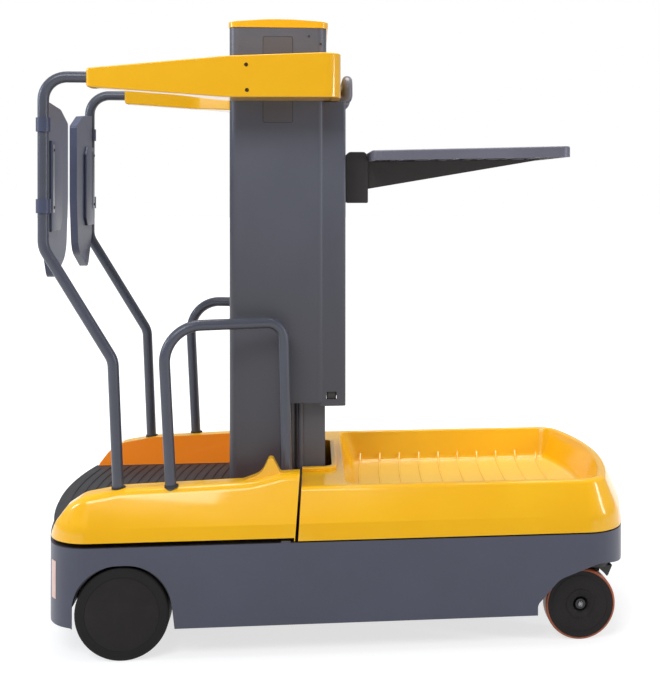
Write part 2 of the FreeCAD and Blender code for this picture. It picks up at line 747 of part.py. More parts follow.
# Platform plate and mat, both cut to the well between the operator covers.
def well_sides(sketch):
    """What lies beside the well, one loop for each side."""
    for sign, off in (("-", " - "), ("", " + ")):
        rounded_path(sketch, [
            ("-half_length - 30", sign + "well_half" + off + "60", None),
            ("-half_length + 55", sign + "well_half", None),
            ("flange_x", sign + "well_half", "20"), ("flange_x", sign + "flange_half", "20"),
            ("0", sign + "flange_half", None), ("0", sign + "half_width" + off + "9", None),
            ("-half_length - 30", sign + "half_width" + off + "9", None),
        ])


floor = new_body("PlatformPlate")
sketch = new_sketch(floor, "XY", "cover_low")
plan_path(sketch, "8", right="foot_right")
pad(floor, sketch, "mat_low - cover_low")
sketch = new_sketch(floor, "XY", "cover_low")
well_sides(sketch)
pocket(floor, sketch, back=True)
node("platform_plate", floor)

mat = new_body("OperatorMat")
sketch = new_sketch(mat, "XY", "mat_low")
plan_path(sketch, "12", right="column_left")
pad(mat, sketch, "mat_top - mat_low")
sketch = new_sketch(mat, "XY", "mat_low")
well_sides(sketch)
pocket(mat, sketch, back=True)
node("operator_mat", mat)

# Carriage frame: back plate with cheeks that run in the inner stage.
back = block("foot_right", "foot_right + 10", "-column_half + column_skin",
             "column_half - column_skin", "cover_low + 8", "frame_top")
cheek = block("foot_right + 10", "-89", "-92", "-60", "cover_low + 8", "frame_top")
shoes = []
for low in ("cover_low + 18", "frame_top - 90"):
    shoe = block("-101", "-89", "-98 + pin_play", "-92", low, low + " + 80")
    shoes = shoes + [shoe, mirrored(shoe)]
node("carriage_frame", joined([back, cheek, mirrored(cheek)] + shoes))

# Column housing round the mast.
column = new_body("ColumnHousing")
sketch = new_sketch(column, "XY", "column_step")
box_path(sketch, "column_left", "column_right", "-column_half", "column_half", "column_corner")
pad(column, sketch, "column_top - column_step")
sketch = new_sketch(column, "XY", "mat_low")
rounded_path(sketch, [
    ("column_left", "-column_half", "column_corner"), ("foot_right", "-column_half", None),
    ("foot_right", "column_half", None), ("column_left", "column_half", "column_corner"),
])
pad(column, sketch, "column_step - mat_low")
sketch = new_sketch(column, "XY", "track_low")
box_path(sketch, "column_right - 32", "track_right", "-track_half", "track_half", "8")
pad(column, sketch, "track_top - track_low")
sketch = new_sketch(column, "XY", "track_low")
box_path(sketch, "column_left + column_skin", "column_right - column_skin",
         "-column_half + column_skin", "column_half - column_skin", "column_corner - column_skin")
pocket(column, sketch, back=True)
sketch = new_sketch(column, "XY", "mat_low")
rounded_path(sketch, [
    ("column_left + column_skin", "-column_half + column_skin", "column_corner - column_skin"),
    ("foot_right + 20", "-column_half + column_skin", None),
    ("foot_right + 20", "column_half - column_skin", None),
    ("column_left + column_skin", "column_half - column_skin", "column_corner - column_skin"),
])
pocket(column, sketch, "column_step - mat_low + 20", back=True)
sketch = new_sketch(column, "XY", "track_low")
box_path(sketch, "column_right - 29", "track_right - column_skin",
         "-track_half + column_skin", "track_half - column_skin", "5")
pocket(column, sketch, "track_top - track_low - column_skin", back=True)
sketch = new_sketch(column, "XY", "track_low")
box_path(sketch, "track_right - slot_depth - column_skin", "track_right - 1",
         "-slot_half - column_skin", "slot_half + column_skin")
pad(column, sketch, "track_top - track_low - 1")
sketch = new_sketch(column, "XY", "track_low")
box_path(sketch, "track_right - slot_depth", "track_right + 1", "-slot_half", "slot_half")
pocket(column, sketch, "track_top - track_low - 18", back=True)
sketch = new_sketch(column, "XZ")
box_path(sketch, "column_right", "column_right + 27", "track_low + 18", "track_low + 38", "3")
pocket(column, sketch, middle=True)
node("column_housing", column)

# Cap: crowned along the truck, rounded at its corners.
cap = new_body("ColumnCap")
sketch = new_sketch(cap, "XZ")
rounded_path(sketch, [
    ("column_left - 2", "column_top", None), ("column_right + cap_lip", "column_top", None),
    ("column_right + cap_lip", "cap_top - 6", None), ("column_right - 90", "cap_top", "300"),
    ("column_left + 100", "cap_top", "300"), ("column_left - 2", "cap_top - 8", None),
])
pad(cap, sketch, "column_half + column_half + 4", middle=True)
soften(cap, "column_corner", lambda edge: len(edge.Vertexes) == 2
       and abs(edge.Vertexes[0].X - edge.Vertexes[1].X) < 0.01
       and abs(edge.Vertexes[0].Y - edge.Vertexes[1].Y) < 0.01)
node("column_cap", cap)

# Arm cover: a yellow yoke round the column, one arm each side.
yoke = new_body("ArmCover")
sketch = new_sketch(yoke, "XY", "arm_low - 10")
rounded_path(sketch, [
    ("arm_tip", "-arm_half", "12"), ("arm_back", "-arm_half", "arm_corner"),
    ("arm_back", "arm_half", "arm_corner"), ("arm_tip", "arm_half", "12"),
])
pad(yoke, sketch, "arm_top + 10 - arm_low + 10")
sketch = new_sketch(yoke, "XZ")
rounded_path(sketch, [
    ("arm_tip - 20", "arm_low - 20", None), ("arm_back + 20", "arm_low - 20", None),
    ("arm_back + 20", "arm_low + 2", None), ("column_left", "arm_low", "300"),
    ("arm_tip", "arm_low + 23", "8"), ("arm_tip", "arm_top - 45", "8"),
    ("column_left", "arm_top - 11", "300"), ("arm_back - 50", "arm_top", "300"),
    ("arm_back + 20", "arm_top", None), ("arm_back + 20", "arm_top + 20", None),
    ("arm_tip - 20", "arm_top + 20", None),
])
pocket(yoke, sketch, middle=True)
sketch = new_sketch(yoke, "XY", "1300")
rounded_path(sketch, [
    ("arm_tip - 20", "-arm_inner", None), ("column_left - 130", "-arm_inner", "60"),
    ("column_left - 20", "-column_half", "60"), ("column_right", "-column_half", None),
    ("column_right", "column_half", None), ("column_left - 20", "column_half", "60"),
    ("column_left - 130", "arm_inner", "60"), ("arm_tip - 20", "arm_inner", None),
])
pocket(yoke, sketch, back=True)
notch = block("arm_back - 34", "arm_back + 4", "-handle_half - 20", "-handle_half + 20",
              "arm_low - 4", "arm_low + 40")
node("arm_cover", carved(yoke, [notch, mirrored(notch)]))


# Guard hoops: bent tube from the arm tips down to the operator covers.
hoop = new_body("GuardHoop")
spine = new_sketch(hoop, "XZ", "hoop_y")
rounded_path(spine, [
    ("arm_tip", "hoop_top", None), ("hoop_x", "hoop_top", "58"), ("hoop_x", "1014", "60"),
    ("hoop_x + 170", "730", "60"), ("hoop_x + 184", "380", None),
], closed=False)
across = new_sketch(hoop, "YZ", "arm_tip")
ring(across, "-hoop_y", "hoop_top", "tube_radius")
sweep = hoop.newObject("PartDesign::AdditivePipe", "Sweep")
sweep.Profile = across
sweep.Spine = spine
hoops = both(hoop)
node("guard_hoops", hoops)

# Handrails: hoops turned inward toward the column.
rail_body = new_body("Handrail")
spine = new_sketch(rail_body, "XZ")
rounded_path(spine, [
    ("0", "ledge_top", None), ("-22", "815", "90"), ("rail_span - 10", "815", "45"),
    ("rail_span", "ledge_top - 8", None),
], closed=False)
across = new_sketch(rail_body, "XY", "ledge_top")
ring(across, "0", "0", "tube_radius")
sweep = rail_body.newObject("PartDesign::AdditivePipe", "Sweep")
sweep.Profile = across
sweep.Spine = spine
rail_body.Placement = Placement(Vector(0, 0, 0), Rotation(Vector(0, 0, 1), 13.5))
rail_body.setExpression("Placement.Base.x", formula("rail_x"))
rail_body.setExpression("Placement.Base.y", formula("-rail_y"))
rails = both(rail_body)
node("handrails", rails)

# Operator covers: drafted mouldings along both sides of the platform.
cover = drafted_blank("OperatorCovers", None, "cover_end + 100", "cover_top")
sketch = new_sketch(cover, "XZ")
rounded_path(sketch, [
    ("-half_length - 30", "cover_low + 4", None), ("-half_length + 35", "cover_low + 4", None),
    ("-half_length + 54", "336", None), ("-half_length + 80", "370", "30"),
    ("-half_length + 120", "396", "60"), ("-half_length + 210", "411", "100"),
    ("column_left + 60", "421", "200"), ("column_left + 145", "438", "100"),
    ("cover_end + 120", "441", None), ("cover_end + 120", "600", None), ("-half_length - 30", "600", None),
])
pocket(cover, sketch, middle=True)
soften(cover, "crest_round", lambda edge: edge.BoundBox.ZMin > number("band_top + 5")
       and min(abs(edge.BoundBox.YMin), abs(edge.BoundBox.YMax)) > number("well_half")
       and edge.BoundBox.XMax - edge.BoundBox.XMin > 3)
sketch = new_sketch(cover, "XZ")
rounded_path(sketch, [
    ("cover_end - end_lean", "deck_seat - 10", None), ("cover_end + 200", "deck_seat - 10", None),
    ("cover_end + 200", "cover_top", None), ("cover_end + 3", "cover_top", None),
])
box_path(sketch, "-half_length - 20", "cover_end - end_lean - 1", "deck_seat - 10", "cover_low")
pocket(cover, sketch, middle=True)
sketch = new_sketch(cover, "XY", "deck_seat")
rounded_path(sketch, [
    ("-half_length + 55", "-well_half", None), ("flange_x", "-well_half", "20"),
    ("flange_x", "-flange_half", "20"), ("0", "-flange_half", None),
    ("0", "flange_half", None), ("flange_x", "flange_half", "20"),
    ("flange_x", "well_half", "20"), ("-half_length + 55", "well_half", None),
    ("-half_length - 30", "well_half + 60", None), ("-half_length - 30", "-well_half - 60", None),
])
pocket(cover, sketch, back=True)
sketch = new_sketch(cover, "XY", "ledge_top")
box_path(sketch, "flange_x - 30", "100", "-well_half", "well_half")
pocket(cover, sketch, back=True)
for offset in ("well_half", "0 - well_half - fin_wall"):
    sketch = new_sketch(cover, "XZ", offset)
    rounded_path(sketch, [
        ("column_left + 40", "400", None), ("column_left + 40", "419", None),
        ("column_left + 88", "436", "40"), ("column_left + 113", "486", "8"),
        ("column_left + 137", "438", "8"), ("column_left + 160", "438", None),
        ("column_left + 160", "400", None),
    ])
    pad(cover, sketch, "fin_wall")
node("operator_covers", carved(cover, [hoops, rails]))

# Gates: two moulded panels that swing in from the hoop uprights.
gate = new_body("GatePanel")
sketch = new_sketch(gate, "YZ", "hoop_x - 10")
rounded_path(sketch, [
    ("-hoop_y + 17", "gate_low + 106", "25"), ("-gate_gap - 163", "gate_low", "32"),
    ("-gate_gap - 22", "gate_low + 60", "70"), ("-gate_gap", "gate_low + 205", "200"),
    ("-gate_gap", "gate_top - 42", "10"), ("-gate_gap - 90", "gate_top - 10", "80"),
    ("-hoop_y + 17", "gate_top", "6"),
])
pad(gate, sketch, "gate_slab")
parts = [gate]
for low in ("gate_low + 175", "gate_top - 75"):
    parts.append(rod("z", "tube_radius + 4", "hoop_x", "-hoop_y", low, "knuckle"))
    parts.append(block("hoop_x - 8", "hoop_x + 8", "-hoop_y + 10", "-hoop_y + 32",
                       low + " + 3", low + " + knuckle - 3"))
panel = joined(parts)
bore = rod("z", "tube_radius + pin_play", "hoop_x", "-hoop_y", "gate_low - 25", "600")
panel = carved(panel, [bore])
node("gate_right", panel)
node("gate_left", mirrored(panel))

# Tray rail in the slot of the track box.
node("tray_rail", block("track_right - slot_depth", "track_right - 6", "-rail_half", "rail_half",
                        "track_low + 10", "track_top - 24"))

# Tray bracket: a rounded block whose two shoes run in the slot beside the rail.
bracket = new_body("TrayBracket")
sketch = new_sketch(bracket, "XZ")
rounded_path(sketch, [
    ("track_right + play", "1120", "4"), ("tray_left", "1120", "4"), ("tray_left", "tray_low + 4", None),
    ("tray_left - 6", "1262", "10"), ("track_right + play", "1262", "14"),
])
pad(bracket, sketch, "100", middle=True)
shoe = block("track_right - 14", "30", "-slot_half + 6", "-rail_half - pin_play", "1122", "1244")
node("tray_bracket", joined([bracket, shoe, mirrored(shoe)]))

gusset = new_body("TrayGusset")
sketch = new_sketch(gusset, "XZ")
rounded_path(sketch, [
    ("tray_left", "1159", None), ("570", "tray_low + 8", None), ("tray_left", "tray_low", None),
])
pad(gusset, sketch, "60", middle=True)
node("tray_gusset", gusset)

tray = new_body("LoadTray")
sketch = new_sketch(tray, "XZ")
rounded_path(sketch, [
    ("tray_left", "tray_low", None), ("tray_right", "tray_low + tray_lift", None),
    ("tray_right", "tray_low + tray_rim + tray_lift + 3", None), ("tray_left", "tray_low + tray_rim", None),
])
pad(tray, sketch, "tray_half + tray_half", middle=True)
soften(tray, "28", lambda edge: abs(edge.BoundBox.YMin - edge.BoundBox.YMax) < 0.01
       and edge.BoundBox.XMax - edge.BoundBox.XMin < 1)
soften(tray, "5", lambda edge: edge.BoundBox.ZMin > number("tray_low + tray_rim") - 1)
sketch = new_sketch(tray, "XY", "tray_low - 2")
cell = (number("tray_right - tray_left") - 24 + number("tray_rib")) / number("tray_cells")
for index in range(int(number("tray_cells"))):
    left = "tray_left + 12 + %g" % (index * cell)
    right = "tray_left + 12 + %g" % ((index + 1) * cell - number("tray_rib"))
    box_path(sketch, left, right, "-tray_half + 10", "tray_half - 10", "6")
pocket(tray, sketch, "tray_rim - 6", back=True)
node("load_tray", tray)

# Rear handle: a tube loop that stands on the track box, under notches of the arm cover.
loop = new_body("HandleLoop")
spine = new_sketch(loop, "YZ", "handle_x")
rounded_path(spine, [
    ("-handle_half", "track_top + 32", None), ("-handle_half", "handle_top - tube_radius", "30"),
    ("handle_half", "handle_top - tube_radius", "30"), ("handle_half", "track_top + 32", None),
], closed=False)
across = new_sketch(loop, "XY", "track_top + 32")
ring(across, "handle_x", "-handle_half", "tube_radius")
sweep = loop.newObject("PartDesign::AdditivePipe", "Sweep")
sweep.Profile = across
sweep.Spine = spine
leg = new_body("HandleLeg")
spine = new_sketch(leg, "XZ", "handle_half")
rounded_path(spine, [
    ("handle_x", "track_top + 32", None), ("handle_x", "track_top + 14", "16"),
    ("handle_x - 34", "track_top - 4", None),
], closed=False)
across = new_sketch(leg, "XY", "track_top + 32")
ring(across, "handle_x", "-handle_half", "tube_radius")
sweep = leg.newObject("PartDesign::AdditivePipe", "Sweep")
sweep.Profile = across
sweep.Spine = spine
socket = block("handle_x - 60", "handle_x + 40", "-handle_half - 30", "-handle_half + 30",
               "track_top - 60", "track_top")
leg = carved(leg, [socket])
node("rear_handle", joined([loop, leg, mirrored(leg)]))

doc.recompute()


def check(name, part):
    """Stop when a piece is missing, empty or invalid."""
    if "Invalid" in part.State or "Error" in part.State:
        raise ValueError(name + " did not compute")
    if part.Shape.isNull() or not part.Shape.isValid():
        raise ValueError(name + " has no valid shape")


for item in doc.Objects:
    if "Invalid" in item.State or "Error" in item.State:
        raise ValueError(item.Label + " failed: " + str(item.State))

os.makedirs("parts", exist_ok=True)
for name, part in NODES.items():
    check(name, part)
    part.Shape.exportStep("parts/" + name + ".step")
    box = part.Shape.optimalBoundingBox()
    print("%-20s %7.1f %7.1f  %7.1f %7.1f  %7.1f %7.1f  %9.1f cm3" % (
        name, box.XMin, box.XMax, box.YMin, box.YMax, box.ZMin, box.ZMax,
        part.Shape.Volume / 1000))
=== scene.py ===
# %% [markdown]
# # An order picker truck
# This lesson dresses a warehouse truck whose driver rides up with the goods.
# The engineering model is already packed as solids, so every position is known.
# We load it, give each piece its real finish, and add what a solid leaves out.

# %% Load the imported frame
import json
import math

import bmesh
import bpy
from mathutils import Matrix, Vector
from mathutils.bvhtree import BVHTree
from mathutils.geometry import area_tri


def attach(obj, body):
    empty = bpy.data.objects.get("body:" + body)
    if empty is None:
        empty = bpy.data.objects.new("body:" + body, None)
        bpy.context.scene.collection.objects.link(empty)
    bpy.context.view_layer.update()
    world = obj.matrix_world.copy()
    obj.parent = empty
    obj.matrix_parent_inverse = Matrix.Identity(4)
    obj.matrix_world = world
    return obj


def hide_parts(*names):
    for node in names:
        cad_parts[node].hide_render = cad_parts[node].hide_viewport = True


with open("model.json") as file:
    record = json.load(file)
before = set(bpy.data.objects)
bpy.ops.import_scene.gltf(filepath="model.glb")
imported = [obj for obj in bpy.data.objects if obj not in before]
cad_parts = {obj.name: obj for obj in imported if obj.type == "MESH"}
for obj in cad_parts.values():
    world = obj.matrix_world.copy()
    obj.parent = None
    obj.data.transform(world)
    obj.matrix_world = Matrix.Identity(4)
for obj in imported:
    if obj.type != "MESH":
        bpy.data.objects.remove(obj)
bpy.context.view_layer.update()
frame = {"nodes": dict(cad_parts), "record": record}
NODES = frame["nodes"]

# %% [markdown]
# ## Colours and nodes
# A colour picked on a screen is sRGB, but Blender mixes light in linear values.
# One function turns a hex value over. A second one adds any shader node, sets
# its values and joins its inputs, so that a material reads as a short list.

# %% Helpers for colour and shader nodes
def linear(text):
    """The linear colour of an sRGB hex value such as 'F5B21A'."""
    parts = [int(text[i:i + 2], 16) / 255 for i in (0, 2, 4)]
    parts = [p / 12.92 if p <= 0.04045 else ((p + 0.055) / 1.055) ** 2.4 for p in parts]
    return (parts[0], parts[1], parts[2], 1.0)


def add(tree, kind, settings=None, links=None):
    """Add one node, set its values and link its inputs."""
    node = tree.nodes.new(kind)
    for key, value in (settings or {}).items():
        if isinstance(key, int) or key in node.inputs:
            node.inputs[key].default_value = value
        else:
            setattr(node, key, value)
    for key, socket in (links or {}).items():
        tree.links.new(socket, node.inputs[key])
    return node


def new_material(name, settings):
    """A material with one shader, its values set on the shader's sockets."""
    material = bpy.data.materials.new(name)
    material.use_nodes = True
    tree = material.node_tree
    shader = tree.nodes["Principled BSDF"]
    for key, value in settings.items():
        shader.inputs[key].default_value = value
    return material, tree, shader


def per_mm(size):
    """Texture scale for a grain of that size in millimetres."""
    return 1000.0 / size


# %% [markdown]
# ## Powder coat
# The chassis, mast and tubes are steel under a baked powder coat. The powder
# melts into a skin with a faint orange-peel ripple a few millimetres across,
# and handling leaves it slightly duller in patches. Both come from noise: one
# drives a small bump, the other the roughness and a trace of tone.

# %% Paint and plastic share one recipe
TONE_STOPS = (0.3, 0.7)
ROUGH_SPREAD = 0.05
BUMP_STRENGTH = 0.4


def toned(tree, shader, tone, shade, cloud_mm, rough):
    """Soft patches of tone and of roughness, the size of a hand or more."""
    place = add(tree, "ShaderNodeTexCoord").outputs["Object"]
    cloud = add(tree, "ShaderNodeTexNoise", {
        "Scale": per_mm(cloud_mm), "Detail": 4.0, "Roughness": 0.55,
    }, {"Vector": place})
    tones = add(tree, "ShaderNodeValToRGB", {}, {"Fac": cloud.outputs["Fac"]})
    for stop, at, colour in zip(tones.color_ramp.elements, TONE_STOPS, (shade, tone)):
        stop.position = at
        stop.color = linear(colour)
    tree.links.new(tones.outputs["Color"], shader.inputs["Base Color"])
    wear = add(tree, "ShaderNodeMapRange", {
        "To Min": rough - ROUGH_SPREAD, "To Max": rough + ROUGH_SPREAD,
    }, {"Value": cloud.outputs["Fac"]})
    tree.links.new(wear.outputs["Result"], shader.inputs["Roughness"])
    return place


def rippled(tree, shader, place, ripples):
    """Bumps on top of each other.

    Each has a size in millimetres and a depth in metres.
    """
    normal = None
    for size_mm, depth in ripples:
        noise = add(tree, "ShaderNodeTexNoise", {
            "Scale": per_mm(size_mm), "Detail": 2.0,
        }, {"Vector": place})
        links = {"Height": noise.outputs["Fac"]}
        if normal is not None:
            links["Normal"] = normal
        bump = add(tree, "ShaderNodeBump", {"Strength": BUMP_STRENGTH, "Distance": depth}, links)
        normal = bump.outputs["Normal"]
    tree.links.new(normal, shader.inputs["Normal"])


def coated(name, tone, shade, rough, settings, ripples, cloud_mm=200):
    """A coloured surface: tone and shade are its lightest and darkest."""
    material, tree, shader = new_material(name, settings)
    place = toned(tree, shader, tone, shade, cloud_mm, rough)
    rippled(tree, shader, place, ripples)
    print("made", name)
    return material


# %% Powder coats
POWDER = {"IOR": 1.5, "Specular IOR Level": 0.5}
PEEL = ((3.5, 0.0004),)
SLATE_COAT = coated("slate powder coat", "484B5C", "424555", 0.36, POWDER, PEEL)
GREY_COAT = coated("grey powder coat", "5A5961", "525259", 0.4, POWDER, PEEL)
TUBE_COAT = coated("grey powder coat on tube", "4C4F5C", "454853", 0.33, POWDER, PEEL, 90)
HANDLE_COAT = coated("pale powder coat on handle", "7C7B82", "737279", 0.3, POWDER, PEEL, 90)
BLACK_COAT = coated("black powder coat", "2A282A", "222123", 0.46, POWDER, PEEL)

# %% [markdown]
# ## Moulded yellow shell
# The covers are vacuum formed plastic with a gloss face. A formed sheet is
# never quite flat: a slow wave about a hand wide bends its highlights, and a
# fine grain from the tool takes the mirror edge off them. The shade side of
# such a pigment stays warm, because a little light spreads inside it.

# %% The yellow shell
GLOSS = {
    "IOR": 1.46,
    "Specular IOR Level": 0.3,
    "Coat Weight": 0.6,
    "Coat Roughness": 0.06,
    "Subsurface Weight": 0.12,
    "Subsurface Radius": (0.02, 0.008, 0.002),
    "Subsurface Scale": 0.5,
}
HAND_WAVE, TOOL_GRAIN = (110.0, 0.0035), (2.5, 0.00012)


def yellow_shell(name):
    """Gloss plastic with a thin clear skin over a softer ground."""
    return coated(name, "FBBE12", "F8B70D", 0.3, GLOSS, (HAND_WAVE, TOOL_GRAIN), 260)


YELLOW_SHELL = yellow_shell("formed yellow shell")

# %% [markdown]
# ## A finish that changes over a piece
# Some pieces look different in one region. A mask is built from the place of a
# point and the way its surface faces, and blends a second colour in.

# %% Helpers for regions of a piece
def patched(material, mask, colour):
    """Blend another colour in where the mask is one."""
    tree = material.node_tree
    base = tree.nodes["Principled BSDF"].inputs["Base Color"]
    mix = add(tree, "ShaderNodeMix", {"data_type": "RGBA", 7: linear(colour)},
              {0: mask, 6: base.links[0].from_socket})
    tree.links.new(mix.outputs[2], base)


def ranged(tree, value, low, high):
    """Zero below low, one above high, with a soft step between."""
    step = add(tree, "ShaderNodeMapRange", {
        "interpolation_type": "SMOOTHSTEP", "From Min": low, "From Max": high,
    }, {"Value": value})
    return step.outputs["Result"]


def product(tree, one, other):
    """Two values multiplied."""
    node = add(tree, "ShaderNodeMath", {"operation": "MULTIPLY"}, {0: one, 1: other})
    return node.outputs["Value"]


def place_and_facing(tree):
    """Place and normal of a point, each split into x, y and z."""
    place = add(tree, "ShaderNodeTexCoord").outputs["Object"]
    facing = add(tree, "ShaderNodeNewGeometry").outputs["Normal"]
    return [add(tree, "ShaderNodeSeparateXYZ", {}, {"Vector": v}).outputs for v in (place, facing)]


# %% [markdown]
# ## Painted shade on the column
# The column is darker toward its foot. That is shade under the arm cover and among the covers and rails,
# which our lamps don't copy. A slow change of tone along its height paints that shade in. It is matched
# to how the column looks, not a known property of the paint.

# %% Column coat with painted shade at its foot
COLUMN_SHADE_STARTS, COLUMN_SHADE_FULL = 1.5, 0.45
COLUMN_COAT_WITH_PAINTED_SHADE = coated("grey powder coat on column with painted shade at its foot", "5B5E6B", "545763", 0.4, POWDER, PEEL)
tree = COLUMN_COAT_WITH_PAINTED_SHADE.node_tree
place, facing = place_and_facing(tree)
# Painted shade: the column darkens to this grey toward its foot.
patched(COLUMN_COAT_WITH_PAINTED_SHADE, ranged(tree, place["Z"], COLUMN_SHADE_STARTS, COLUMN_SHADE_FULL), "424147")

# %% [markdown]
# ## Two places where light is painted on the shell
# The deck's floor is painted paler than its walls. That is a painted sheen for the strong light from
# above. The inner walls beside the driver are painted a strong orange, brighter than bounced light makes
# them here, and given a faint emission of that colour. That is a painted glow for light bounced off the
# yellow and coming through the thin shell. Both readings are guesses.

# %% Deck shell with painted sheen on its floor
FLOOR_FADE, FLOOR_FULL = 0.352, 0.324
DECK_SHELL_WITH_PAINTED_SHEEN = yellow_shell("formed yellow shell with painted sheen on its floor")
tree = DECK_SHELL_WITH_PAINTED_SHEEN.node_tree
place, facing = place_and_facing(tree)
low_down = ranged(tree, place["Z"], FLOOR_FADE, FLOOR_FULL)
level = ranged(tree, facing["Z"], 0.8, 0.99)
# Painted sheen: level faces low in the tub take a paler yellow for the light from above.
patched(DECK_SHELL_WITH_PAINTED_SHEEN, product(tree, low_down, level), "FFD368")

# %% Cover shell with painted glow on its inner walls
# The product of y and the normal's y is negative where a wall faces the middle.
INWARD_FROM, INWARD_FULL = -0.05, -0.22
GLOW = 0.28
COVER_SHELL_WITH_PAINTED_GLOW = yellow_shell("formed yellow shell with painted glow on its inner walls")
tree = COVER_SHELL_WITH_PAINTED_GLOW.node_tree
place, facing = place_and_facing(tree)
inward = ranged(tree, product(tree, place["Y"], facing["Y"]), INWARD_FROM, INWARD_FULL)
# Painted bounced light: walls facing the middle are painted a deeper orange.
patched(COVER_SHELL_WITH_PAINTED_GLOW, inward, "EE8A22")
# Painted glow: a faint orange emission on the same walls, though the shell is no lamp.
glow = add(tree, "ShaderNodeMath", {"operation": "MULTIPLY", 1: GLOW}, {0: inward})
shader = tree.nodes["Principled BSDF"]
shader.inputs["Emission Color"].default_value = linear("F27A18")
tree.links.new(glow.outputs["Value"], shader.inputs["Emission Strength"])

# %% [markdown]
# ## Other plastics
# The gates, the tray and the wheel centres are injection moulded, with the
# fine even grain that a spark-eroded tool leaves.

# %% Moulded plastics
GRAIN = ((1.2, 0.0003),)
PLASTIC = {"IOR": 1.5}
WHEEL = {"IOR": 1.5, "Specular IOR Level": 0.22}
GREY_PANEL = coated("moulded grey gate plastic", "434963", "3C4159", 0.4, PLASTIC, GRAIN)
DARK_PLASTIC = coated("dark moulded plastic", "3B3736", "322F2E", 0.5, PLASTIC, GRAIN)
# Painted shade: the dark brown of the shaded holes that the arm screws sit in.
SCREW_HOLE_SHADE = coated("dark screw painted with the shade of its hole", "35261A", "2A1E15", 0.5, WHEEL, GRAIN, 20)
SLATE_PANEL = coated("slate tray plastic", "6E6E7C", "666673", 0.4, PLASTIC, GRAIN)
BLACK_PLASTIC = coated("black wheel plastic", "262324", "201D1E", 0.55, WHEEL, GRAIN, 60)

# %% [markdown]
# ## Rubber and tread
# The mat and the drive tyres are black rubber, dull and slightly grey with
# dust. The caster treads are cast polyurethane, an orange brown that shines a
# little where it rolls. The reflectors on the nose are a pale film.

# %% Rubber, polyurethane and film
RUBBER = {"IOR": 1.52, "Specular IOR Level": 0.4}
BLACK_RUBBER = coated("black mat rubber", "39393C", "2C2C2F", 0.6, RUBBER, ((2.0, 0.0003),), 120)
TYRE_RUBBER = coated("drive tyre rubber", "222021", "1D1B1C", 0.62, WHEEL, ((1.5, 0.0003),), 80)
ORANGE_TREAD = coated("cast polyurethane tread", "B8623C", "A3522F", 0.36, PLASTIC, ((2.0, 0.0002),), 60)
REFLECTOR = coated("blank reflector film", "E9C4B8", "E2B9AC", 0.3, PLASTIC, ((4.0, 0.0003),), 30)

# %% [markdown]
# ## Bare metal
# The lift rams are ground and chromed bar, the screws are zinc plated. Fine
# grinding runs round the bar, too fine to draw one by one, so a stretched
# noise stands for it.

# %% Ground steel and zinc
METAL_SPREAD = 0.07


def bare_metal(name, colour, stretch, rough):
    """Metal with a grain: stretch is the noise scale along x, y and z."""
    material, tree, shader = new_material(name, {"Metallic": 1.0, "Base Color": linear(colour)})
    place = add(tree, "ShaderNodeTexCoord").outputs["Object"]
    turned = add(tree, "ShaderNodeMapping", {"Scale": stretch}, {"Vector": place})
    lines = add(tree, "ShaderNodeTexNoise", {"Scale": 1.0, "Detail": 3.0},
                {"Vector": turned.outputs["Vector"]})
    wear = add(tree, "ShaderNodeMapRange", {
        "To Min": rough - METAL_SPREAD, "To Max": rough + METAL_SPREAD,
    }, {"Value": lines.outputs["Fac"]})
    tree.links.new(wear.outputs["Result"], shader.inputs["Roughness"])
    print("made", name)
    return material


BRIGHT_STEEL = bare_metal("ground bright steel", "C9CBCE", (40.0, 40.0, 900.0), 0.23)
ZINC = bare_metal("zinc plated screw", "8E8F92", (300.0, 300.0, 300.0), 0.34)

# %% [markdown]
# ## From solid to piece
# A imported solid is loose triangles, which shade as flat facets. For each piece
# we merge a copy of it, join coplanar triangles, round its sharp edges a little
# and shade it smooth up to a set angle. The copy then stands for the solid.

# %% Helper that finishes a piece
SHARP = math.radians(30.0)


def finish_piece(name, bm, body, material, edge=0.0):
    """Turn a bmesh into a finished piece that rides on a body.

    Edges sharper than the set angle get a small rounding, if one is given.
    """
    mesh = bpy.data.meshes.new(name)
    bm.to_mesh(mesh)
    bm.free()
    for polygon in mesh.polygons:
        polygon.use_smooth = True
    mesh.set_sharp_from_angle(angle=SHARP)
    piece = bpy.data.objects.new(name, mesh)
    bpy.context.scene.collection.objects.link(piece)
    piece.data.materials.append(material)
    if edge > 0:
        bevel = piece.modifiers.new("rounded edges", "BEVEL")
        bevel.width = edge
        bevel.segments = 2
        bevel.limit_method = "ANGLE"
        bevel.angle_limit = SHARP
        bevel.harden_normals = True
    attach(piece, body)
    return piece


# %% Helpers that copy a solid
WELD = 0.00002
COPLANAR = math.radians(0.5)
AREA_SLACK = 0.002
RING_SHAPED = ("caster_tread", "caster_hub", "drive_tyre", "drive_hub")


def drawn_area(bm):
    """Area of the triangles a mesh is really drawn with."""
    triangles = bm.calc_loop_triangles()
    return sum(area_tri(*[corner.vert.co for corner in three]) for three in triangles)


def merged_copy(node):
    """A bmesh of a solid with its loose triangles joined.

    Coplanar triangles become one face, unless that would close a hole. It can
    in a ring-shaped face, so wheels keep their triangles, as does any solid
    whose drawn area would change.
    """
    bm = bmesh.new()
    bm.from_mesh(NODES[node].data)
    bmesh.ops.remove_doubles(bm, verts=bm.verts, dist=WELD)
    flat = bm.copy()
    bmesh.ops.dissolve_limit(
        flat, angle_limit=COPLANAR, verts=flat.verts, edges=flat.edges, delimit={"NORMAL"})
    before = drawn_area(bm)
    after = drawn_area(flat)
    changed = abs(after - before) > AREA_SLACK * before
    if changed or node.startswith(RING_SHAPED):
        print("kept the triangles of", node, round(after / before, 3))
        flat.free()
        return bm
    bm.free()
    return flat


BODY_OF = {}
for body, members in frame["record"]["behaviour"]["bodies"].items():
    for member in members:
        BODY_OF[member] = body


